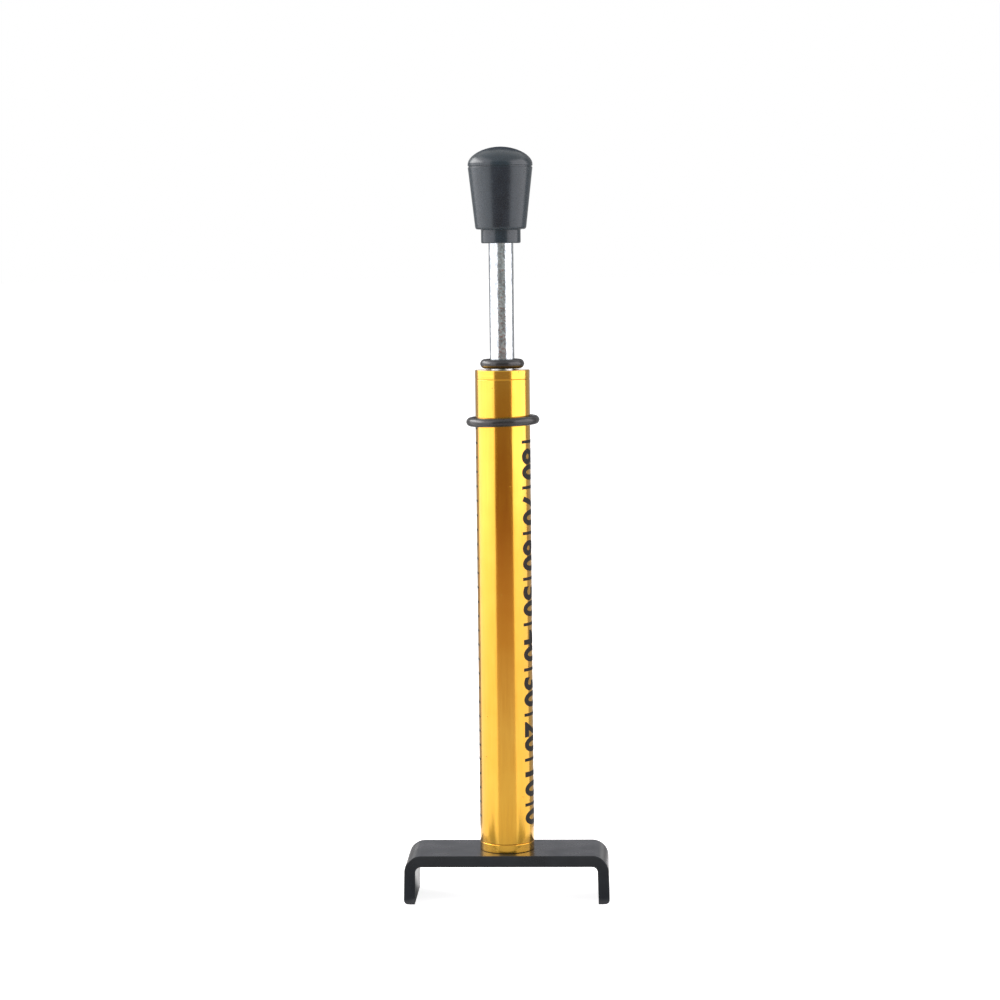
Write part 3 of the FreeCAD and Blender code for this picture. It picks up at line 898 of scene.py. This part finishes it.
def rule_marks(tree, given):
    """Nodes for a row of marks: every eighth long, every fourth of middle length."""
    step = add_node(tree, "ShaderNodeCombineXYZ", {"Z": given["Pitch"]})
    base = add_node(tree, "ShaderNodeCombineXYZ", {"Z": given["First Height"]})
    row = add_node(tree, "GeometryNodeMeshLine", {
        "Count": given["Count"], "Start Location": base, "Offset": step})
    index = add_node(tree, "GeometryNodeInputIndex")
    length = given["Short Length"]
    for every, named in ((4, "Middle Length"), (8, "Long Length")):
        left = add_node(tree, "ShaderNodeMath", {0: index, 1: float(every)}, operation="MODULO")
        other = add_node(tree, "ShaderNodeMath", {0: left, 1: 0.5}, operation="GREATER_THAN")
        length = add_node(tree, "ShaderNodeMix", {
            "Factor": other, "A": given[named], "B": length}, data_type="FLOAT")
    sunk = INK_ROOT * MM
    thick = add_node(tree, "ShaderNodeMath", {0: given["Ink Height"], 1: sunk}, operation="ADD")
    size = add_node(tree, "ShaderNodeCombineXYZ", {"X": length, "Y": thick, "Z": given["Width"]})
    bar = add_node(tree, "GeometryNodeMeshCube", {
        "Size": (1.0, 1.0, 1.0), "Vertices X": 15, "Vertices Y": 2, "Vertices Z": 2})
    ended = add_node(tree, "GeometryNodeTransform", {
        "Geometry": bar.outputs["Mesh"], "Translation": (0.5, 0.5, 0.0)})
    marks = add_node(tree, "GeometryNodeInstanceOnPoints", {
        "Points": row, "Instance": ended, "Scale": size})
    real = add_node(tree, "GeometryNodeRealizeInstances", {"Geometry": marks})

    # Wrap: x runs back round the barrel, y out from its axis, z along it.
    position = add_node(tree, "GeometryNodeInputPosition")
    place = add_node(tree, "ShaderNodeSeparateXYZ", {"Vector": position})
    turn = add_node(tree, "ShaderNodeMath", {
        0: place.outputs["X"], 1: given["Barrel Radius"]}, operation="DIVIDE")
    angle = add_node(tree, "ShaderNodeMath", {
        0: given["Start Angle"], 1: turn}, operation="SUBTRACT")
    bottom = add_node(tree, "ShaderNodeMath", {
        0: given["Barrel Radius"], 1: sunk}, operation="SUBTRACT")
    reach = add_node(tree, "ShaderNodeMath", {0: bottom, 1: place.outputs["Y"]}, operation="ADD")
    sine = add_node(tree, "ShaderNodeMath", {0: angle}, operation="SINE")
    cosine = add_node(tree, "ShaderNodeMath", {0: angle}, operation="COSINE")
    x = add_node(tree, "ShaderNodeMath", {0: reach, 1: sine}, operation="MULTIPLY")
    back = add_node(tree, "ShaderNodeMath", {0: reach, 1: cosine}, operation="MULTIPLY")
    y = add_node(tree, "ShaderNodeMath", {0: back, 1: -1.0}, operation="MULTIPLY")
    wrapped = add_node(tree, "ShaderNodeCombineXYZ", {"X": x, "Y": y, "Z": place.outputs["Z"]})
    return add_node(tree, "GeometryNodeSetPosition", {"Geometry": real, "Position": wrapped})


def text_solid(text):
    """Text in Blender's own font, as a thin closed solid, and the corners of its box."""
    font = bpy.data.curves.new("figure", "FONT")
    font.body = text
    font.offset = 0.035
    font.extrude = 0.5
    font.resolution_u = 6
    font.align_x = "CENTER"
    holder = scratch_object("figure", font)
    mesh = evaluated_mesh(holder)
    bpy.data.objects.remove(holder)
    low = Vector([min(v.co[i] for v in mesh.vertices) for i in range(3)])
    high = Vector([max(v.co[i] for v in mesh.vertices) for i in range(3)])
    return mesh, low, high


def flat_figure(text, digit, up):
    """A bold figure about x = 0, in mm: its digits as wide as a zero of that width, and from
    y = 0 to up."""
    _, zero_low, zero_high = text_solid("0")
    mesh, low, _ = text_solid(text)
    zero = zero_high - zero_low
    thick = millimetres("ink_height") + INK_ROOT
    scale = Matrix.Diagonal((digit / zero.x, up / zero.y, thick / zero.z, 1))
    mesh.transform(scale @ Matrix.Translation((0, -low.y, -low.z)))
    mesh.transform(Matrix.Translation((0, 0, -INK_ROOT)))
    return mesh


def wrapped_figure(mesh, wrap_axis, place):
    """Cuts a flat figure across the way it wraps, so that it can bend, and places each point."""
    step = 0.3
    form = bmesh.new()
    form.from_mesh(mesh)
    bmesh.ops.remove_doubles(form, verts=form.verts, dist=1e-5)
    normal = Vector((0, 0, 0))
    normal[wrap_axis] = 1
    places = [v.co[wrap_axis] for v in form.verts]
    for k in range(math.ceil(min(places) / step), math.ceil(max(places) / step)):
        parts = form.verts[:] + form.edges[:] + form.faces[:]
        bmesh.ops.bisect_plane(form, geom=parts, plane_co=normal * step * k, plane_no=normal)
    for vertex in form.verts:
        vertex.co = Vector(place(*vertex.co)) * MM
    form.to_mesh(mesh)
    form.free()
    return mesh


def reading_down_figure(text, start, middle, digit, height):
    """A figure that reads down the barrel about a height, its foot at the start angle."""
    def place(x, y, z):
        angle = start + y / BARREL_RADIUS
        reach = BARREL_RADIUS + z
        return (reach * math.sin(angle), -reach * math.cos(angle), middle - x)

    return wrapped_figure(flat_figure(text, digit, height), 1, place)


def upright_figure(text, middle, level, digit, up):
    """A small upright figure, centred on an angle and a height."""
    def place(x, y, z):
        angle = middle + x / BARREL_RADIUS
        reach = BARREL_RADIUS + z
        return (reach * math.sin(angle), -reach * math.cos(angle), level + y - up / 2)

    return wrapped_figure(flat_figure(text, digit, up), 0, place)


def joined(name, meshes):
    """One mesh of several."""
    form = bmesh.new()
    for mesh in meshes:
        form.from_mesh(mesh)
    bmesh.ops.recalc_face_normals(form, faces=form.faces)
    result = bpy.data.meshes.new(name)
    form.to_mesh(result)
    form.free()
    return result


class FinishFittings(bpy.types.Operator):
    """Give the small inner pieces their metals and rubber"""

    bl_idname = "tester.fittings"
    bl_label = "Inner fittings"

    def execute(self, context):
        brass = turned_metal("turned_brass", "#D9B76A", "#B08A42", 1.0, 0.28)
        bronze = turned_metal("sintered_bronze", "#9C7148", "#6E4A2C", 0.9, 0.42, 0.12)
        spring_steel = turned_metal("pressed_spring_steel", "#85868A", "#5E5F63", 1.0, 0.35)
        rubber = moulded_black_rubber()
        for node, material in (
            ("guide_bush", bronze), ("bumper_washer", rubber), ("spring_washer", spring_steel),
            ("spring_follower", brass), ("knob_insert", brass), ("follower_clip", spring_steel),
            ("stop_clip", spring_steel),
        ):
            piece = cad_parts[node]
            for slot in piece.material_slots:
                slot.material = material
            if not piece.material_slots:
                piece.data.materials.append(material)
        return {"FINISHED"}


# Studio


class SetStudio(bpy.types.Operator):
    """Set the pale floor, the soft lights and the camera"""

    bl_idname = "tester.studio"
    bl_label = "Studio"

    def execute(self, context):
        context.scene.view_settings.view_transform = "Standard"
        set_camera(context.scene)
        set_world(context.scene)
        lay_floor()
        hang_softbox("left_softbox", start=-123.0, end=-32.7, height=1.5, radiance=1.3)
        hang_softbox("right_softbox", start=40.3, end=112.0, height=1.0, radiance=1.7)
        hang_top_light()
        set_cards()
        return {"FINISHED"}


def set_camera(scene):
    """The photograph's viewing angle: almost level, a little right of the front."""
    lens = bpy.data.cameras.new("studio_camera")
    lens.sensor_width = 36.0
    lens.lens = 94.44
    camera = bpy.data.objects.new("studio_camera", lens)
    scene.collection.objects.link(camera)
    azimuth, pitch, roll = math.radians(2.27), math.radians(5.46), math.radians(0.63)
    distance, height, aside = 0.5719, 0.1429, -0.00081
    right = Vector((math.cos(azimuth), math.sin(azimuth), 0))
    level = Vector((-math.sin(azimuth), math.cos(azimuth), 0))
    forward = level * math.cos(pitch) - Vector((0, 0, math.sin(pitch)))
    up = right.cross(forward)
    leaning_right = right * math.cos(roll) - up * math.sin(roll)
    leaning_up = up * math.cos(roll) + right * math.sin(roll)
    turned = Matrix((leaning_right, leaning_up, -forward)).transposed().to_4x4()
    place = Vector((0, 0, height)) - level * distance + right * aside
    camera.matrix_world = Matrix.Translation(place) @ turned
    scene.camera = camera


def set_world(scene):
    """White behind the object and in what metal reflects, and a plain level for the rest."""
    world = bpy.data.worlds.new("studio_world")
    world.use_nodes = True
    tree = world.node_tree
    tree.nodes.clear()
    ray = add_node(tree, "ShaderNodeLightPath")
    seen = add_node(tree, "ShaderNodeMath", {
        0: ray.outputs["Is Camera Ray"], 1: ray.outputs["Is Glossy Ray"]}, operation="ADD")
    shown = add_node(tree, "ShaderNodeMath", {
        0: seen, 1: ray.outputs["Is Transmission Ray"]}, operation="ADD", use_clamp=True)
    plain_level = 0.55
    strength = add_node(tree, "ShaderNodeMapRange", {
        "Value": shown, "To Min": plain_level, "To Max": 1.0})
    sky = add_node(tree, "ShaderNodeBackground", {"Color": (1, 1, 1, 1), "Strength": strength})
    add_node(tree, "ShaderNodeOutputWorld", {"Surface": sky})
    scene.world = world


def stage_mesh(name, points, faces, material):
    """A staged mesh, which isn't part of the object."""
    mesh = bpy.data.meshes.new(name)
    mesh.from_pydata(points, [], faces)
    mesh.materials.append(material)
    item = bpy.data.objects.new(name, mesh)
    bpy.context.scene.collection.objects.link(item)
    return item


def lay_floor():
    """A matt pale floor that the camera sees as white, with the object's faint shadow kept."""
    material = bpy.data.materials.new("matt_pale_floor")
    material.use_nodes = True
    tree = material.node_tree
    tree.nodes.clear()
    ray = add_node(tree, "ShaderNodeLightPath")
    seen = add_node(tree, "ShaderNodeMath", {
        0: ray.outputs["Is Camera Ray"], 1: ray.outputs["Is Transmission Ray"]}, operation="ADD")
    seen_glow, mirrored_glow = 0.8, 0.5
    plain = add_node(tree, "ShaderNodeMath", {0: seen, 1: seen_glow}, operation="MULTIPLY")
    shown = add_node(tree, "ShaderNodeMath", {
        0: ray.outputs["Is Glossy Ray"], 1: mirrored_glow, 2: plain}, operation="MULTIPLY_ADD")
    glow = add_node(tree, "ShaderNodeEmission", {"Color": (1, 1, 1, 1), "Strength": shown})
    paint = add_node(tree, "ShaderNodeBsdfDiffuse", {"Color": (0.8, 0.8, 0.8, 1)})
    both = add_node(tree, "ShaderNodeAddShader", {0: glow, 1: paint})
    add_node(tree, "ShaderNodeOutputMaterial", {"Surface": both})
    half, below = 12.0, -0.00005
    corners = [(x * half, y * half, below) for x, y in ((-1, -1), (1, -1), (1, 1), (-1, 1))]
    stage_mesh("pale_floor", corners, [(0, 1, 2, 3)], material)


def hang_light(name, width, height, radiance, place, outward, colour=(1.0, 1.0, 1.0)):
    """A rectangular soft light, which the camera doesn't see, that faces against outward."""
    light = bpy.data.lights.new(name, "AREA")
    light.color = colour
    light.shape = "RECTANGLE"
    light.size = width
    light.size_y = height
    light.energy = radiance * math.pi * width * height
    box = bpy.data.objects.new(name, light)
    turned = outward.to_track_quat("Z", "Y").to_matrix().to_4x4()
    box.matrix_world = Matrix.Translation(place) @ turned
    box.visible_camera = False
    bpy.context.scene.collection.objects.link(box)


def hang_softbox(name, start, end, height, radiance):
    """An upright soft light that stands on the floor and fills the view from the object between
    two azimuths. Azimuths count from -Y towards +X."""
    distance = 0.9
    middle, half = math.radians(start + end) / 2, math.radians(end - start) / 2
    outward = Vector((math.sin(middle), -math.cos(middle), 0))
    place = outward * distance + Vector((0, 0, height / 2))
    faint_pink = (1.0, 0.93, 0.97)
    hang_light(
        name, 2 * distance * math.tan(half), height, radiance, place, outward, faint_pink)


def hang_top_light():
    """A smaller light, high on the left: it gives the dome and the rings their highlights."""
    azimuth, elevation, distance = math.radians(-105), math.radians(33), 1.1
    outward = Vector((
        math.sin(azimuth) * math.cos(elevation), -math.cos(azimuth) * math.cos(elevation),
        math.sin(elevation)))
    hang_light(
        "top_light", width=1.2, height=0.4, radiance=4.5, place=outward * distance,
        outward=outward)


def set_cards():
    """Cards that glow and that only reflections show: painted reflections, not lamps. A graduated one
    runs from before the object up behind the camera, and a grey one stands behind it at each
    side: they give the bright metal its dark lines. A small one lies before the cradle, whose
    front reflects it as painted floor shade, and two stand right behind, which the cradle's top
    and the dome reflect as a painted sheen and a painted dark top."""
    # Painted reflection: the glow's reddish browns tint the gold's dark stripe, and its darker first
    # stop paints the floor's shade that the cradle's front reflects.
    front = card_material("graduated_grey_card", (
        (0.012, (0.42, 0.44, 0.46)), (0.03, (0.92, 0.87, 0.78)), (0.10, (0.84, 0.79, 0.86)),
        (0.16, (0.63, 0.42, 0.32)), (0.22, (0.53, 0.27, 0.19)), (0.29, (0.44, 0.22, 0.15)),
        (0.36, (0.13, 0.03, 0.02)), (0.47, (0.18, 0.055, 0.035)), (0.90, (0.33, 0.12, 0.08)),
        (1.0, (0.43, 0.46, 0.44))))
    raised = [(CARD_REACH, 0.15 * k) for k in range(1, 13)]
    curved_card("front_card", -34, 41.5, floor_run(0.03, CARD_REACH, 16) + raised, front)
    # Painted shade: this dark glowing card stands for the floor's shadow by the cradle, as its front
    # and legs reflect it.
    near = card_material("shade_card", even((0.33, 0.34, 0.37)))
    half, start, end, lift = 0.07, -0.046, -0.0095, 0.0006
    corners = [(x, y, lift) for x, y in (
        (-half, start), (half, start), (half, end), (-half, end))]
    only_reflected(stage_mesh("near_card", corners, [(0, 1, 2, 3)], near))
    # Painted reflections: these glowing grey cards darken the bright metal's limbs at each side.
    edge = card_material("grey_card", even((0.44, 0.43, 0.43)))
    rear = 2.2
    rear_run = floor_run(0.07, rear, 12) + [(rear, 0.2 * k) for k in range(1, 9)]
    curved_card("rear_card_right", 113, 166, rear_run, edge)
    curved_card("rear_card_left", -166, -126, rear_run, edge)
    # Painted reflection: this pale glowing card gives the cradle's top its sheen.
    low = card_material("pale_grey_card", even((0.63, 0.63, 0.67)))
    curved_card("rear_card_low", 166, 194, [(0.3, 0.02), (0.3, 0.11)], low)
    # Painted reflection: this dark glowing card darkens the top of the dome.
    high = card_material("dark_grey_card", even((0.13, 0.13, 0.15)))
    curved_card("rear_card_high", 166, 194, [(rear, 0.36), (rear, 2.3)], high)


def floor_run(near, far, steps):
    """Points of a card's run along the floor, closer together near the object."""
    lift = 0.0005
    return [(near + (far - near) * (k / steps) ** 2, lift) for k in range(steps + 1)]


def even(colour):
    """Stops of a card that is the same all over."""
    return (0.0, colour), (1.0, colour)


def card_material(name, stops):
    """A card that glows evenly, graded by its distance from the object's axis: a painted reflection,
    not a lamp.
    """
    material, tree, place = blank_material(name)
    flat = add_node(tree, "ShaderNodeVectorMath", {
        0: place, 1: (1.0, 1.0, 0.0)}, operation="MULTIPLY")
    away = add_node(tree, "ShaderNodeVectorMath", {0: flat}, operation="LENGTH")
    share = add_node(tree, "ShaderNodeMath", {
        0: away.outputs["Value"], 1: CARD_REACH}, operation="DIVIDE")
    grade = add_node(tree, "ShaderNodeValToRGB", {"Fac": share})
    ramp = grade.color_ramp
    while len(ramp.elements) < len(stops):
        ramp.elements.new(0.5)
    for element, (position, colour) in zip(ramp.elements, stops):
        element.position = position
        element.color = (*colour, 1)
    glow = add_node(tree, "ShaderNodeEmission", {"Color": grade, "Strength": 1.0})
    add_node(tree, "ShaderNodeOutputMaterial", {"Surface": glow})
    return material


def curved_card(name, start, end, run, material):
    """A card bent about the axis between two azimuths, along a run of (distance, height)."""
    steps = 16
    points, faces = [], []
    for distance, height in run:
        for k in range(steps + 1):
            angle = math.radians(start + (end - start) * k / steps)
            points.append((distance * math.sin(angle), -distance * math.cos(angle), height))
    for r in range(len(run) - 1):
        for k in range(steps):
            a = r * (steps + 1) + k
            faces.append((a, a + 1, a + steps + 2, a + steps + 1))
    only_reflected(stage_mesh(name, points, faces, material))


def only_reflected(card):
    """Lets a card be seen in reflections, and nowhere else."""
    card.visible_camera = False
    card.visible_diffuse = False
    card.visible_shadow = False
    card.visible_transmission = False


# Add-on


OPERATORS = (
    DressCradle, DressBarrel, PrintScales, DressSpring, DressRod, DressKnob, DressRings,
    FinishFittings, SetStudio,
)


class TesterPanel(bpy.types.Panel):
    """Lists the pieces, sizes and colours in the 3D view's sidebar"""

    bl_idname = "VIEW3D_PT_tester"
    bl_label = "Belt tension tester"
    bl_space_type = "VIEW_3D"
    bl_region_type = "UI"
    bl_category = "Tester"

    def draw(self, context):
        for operator in OPERATORS:
            self.layout.operator(operator.bl_idname)
        for group in (context.scene.tester_sizes, context.scene.tester_finishes):
            column = self.layout.column()
            for name in group.__annotations__:
                column.prop(group, name)


CLASSES = (TesterSizes, TesterFinishes) + OPERATORS + (TesterPanel,)


def register():
    for item in CLASSES:
        bpy.utils.register_class(item)
    bpy.types.Scene.tester_sizes = PointerProperty(type=TesterSizes)
    bpy.types.Scene.tester_finishes = PointerProperty(type=TesterFinishes)


def unregister():
    del bpy.types.Scene.tester_finishes
    del bpy.types.Scene.tester_sizes
    for item in reversed(CLASSES):
        bpy.utils.unregister_class(item)


def main():
    register()
    for operator in OPERATORS:
        group, name = operator.bl_idname.split(".")
        getattr(getattr(bpy.ops, group), name)()


if __name__ == "__main__":
    main()
